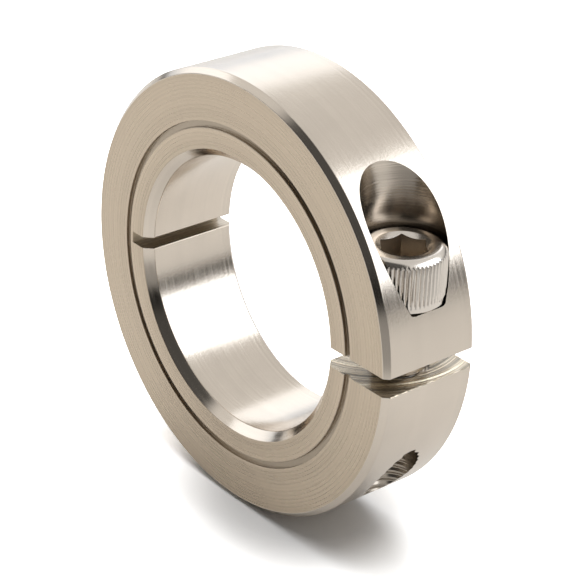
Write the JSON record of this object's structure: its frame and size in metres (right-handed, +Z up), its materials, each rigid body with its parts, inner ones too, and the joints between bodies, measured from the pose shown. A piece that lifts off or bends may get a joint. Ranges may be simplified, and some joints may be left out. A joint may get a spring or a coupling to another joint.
{
  "type": "shaft collar",
  "caption": "Clamp-style shaft collar: a split stainless steel ring with a thin web, drawn closed on a shaft by a socket head cap screw set across the split.",
  "frame": {"origin": "centre of the bore, at mid-width of the ring", "axes": "+Y along the bore from the grooved face to the plain face, +X from the web to the split, +Z up along the screw towards its head"},
  "size_m": [0.052, 0.0126, 0.052],
  "materials": {
    "ring_steel": "fine turned, unpolished stainless steel",
    "screw_steel": "forged and knurled stainless steel",
    "patch_nylon": "nylon fused into the thread"
  },
  "bodies": {
    "lower_half": {"lower_jaw": "ring_steel", "hinge_web": "ring_steel"},
    "upper_half": {"upper_jaw": "ring_steel"},
    "screw": {"clamp_screw": "screw_steel", "thread_patch": "patch_nylon"}
  },
  "joints": [
    {"name": "clamp_flex", "type": "hinge", "parent": "lower_half", "child": "upper_half", "pos_m": [-0.02245, 0, 0], "axis": [0, 1, 0], "range_deg": [0, 0.54], "deforming": ["hinge_web"]},
    {"name": "screw_turn", "type": "hinge", "parent": "upper_half", "child": "screw", "pos_m": [0.02073, 0, 0], "axis": [0, 0, -1], "range_deg": [0, 160]}
  ],
  "couplings": [
    {"joint": "clamp_flex", "follows": "screw_turn", "ratio": 0.0033435}
  ]
}
